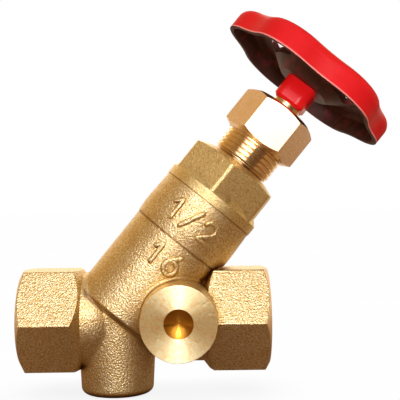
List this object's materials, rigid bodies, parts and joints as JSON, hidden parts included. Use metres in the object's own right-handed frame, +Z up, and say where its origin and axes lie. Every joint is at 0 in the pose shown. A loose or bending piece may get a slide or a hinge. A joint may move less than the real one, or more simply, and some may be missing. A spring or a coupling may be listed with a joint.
{
  "type": "globe valve",
  "caption": "Oblique-seat brass globe valve with threaded pipe ends, blank bottom and side bosses, rising spindle and fluted red handwheel.",
  "frame": {"origin": "centre of the inlet end face, on the pipe axis", "axes": "+X along the pipe axis from inlet to outlet, +Z up so that the spindle leans up and towards the outlet, -Y towards the side with the round blank boss"},
  "size_m": [0.0977, 0.0472, 0.1011],
  "materials": {
    "cast_brass": "cast and blasted, fine grain",
    "pressed_brass": "hot pressed, blasted, neck turned",
    "turned_brass": "turned, bright",
    "spindle_brass": "turned, bright",
    "red_paint": "glossy red enamel on pressed steel",
    "zinc_steel": "zinc plated",
    "packing": "graphited packing, dull",
    "fibre": "sealing fibre, dull",
    "seal_rubber": "dull black rubber"
  },
  "bodies": {
    "housing": {"body": "cast_brass", "bonnet_gasket": "fibre", "bonnet": "pressed_brass", "packing_base_ring": "turned_brass", "packing_ring_lower": "packing", "packing_ring_middle": "packing", "packing_ring_upper": "packing", "gland_follower": "turned_brass", "gland_nut": "turned_brass"},
    "disc": {"disc_holder": "turned_brass", "disc_seal": "seal_rubber", "seal_washer": "turned_brass", "seal_nut": "turned_brass", "disc_lock_nut": "turned_brass"},
    "spindle": {"stem": "spindle_brass", "handwheel": "red_paint", "handwheel_washer": "zinc_steel", "handwheel_lock_washer": "zinc_steel", "handwheel_screw": "zinc_steel"}
  },
  "joints": [
    {"name": "disc_lift", "type": "slide", "parent": "housing", "child": "disc", "axis": [0.6361, 0, 0.7716], "range_m": [0, 0.008]},
    {"name": "spindle_turn", "type": "hinge", "parent": "disc", "child": "spindle", "pos_m": [0.0245, 0, 0], "axis": [0.6361, 0, 0.7716], "range_deg": [0, 1440]}
  ],
  "couplings": [
    {"joint": "spindle_turn", "follows": "disc_lift", "rad_per_m": 3141.6}
  ]
}
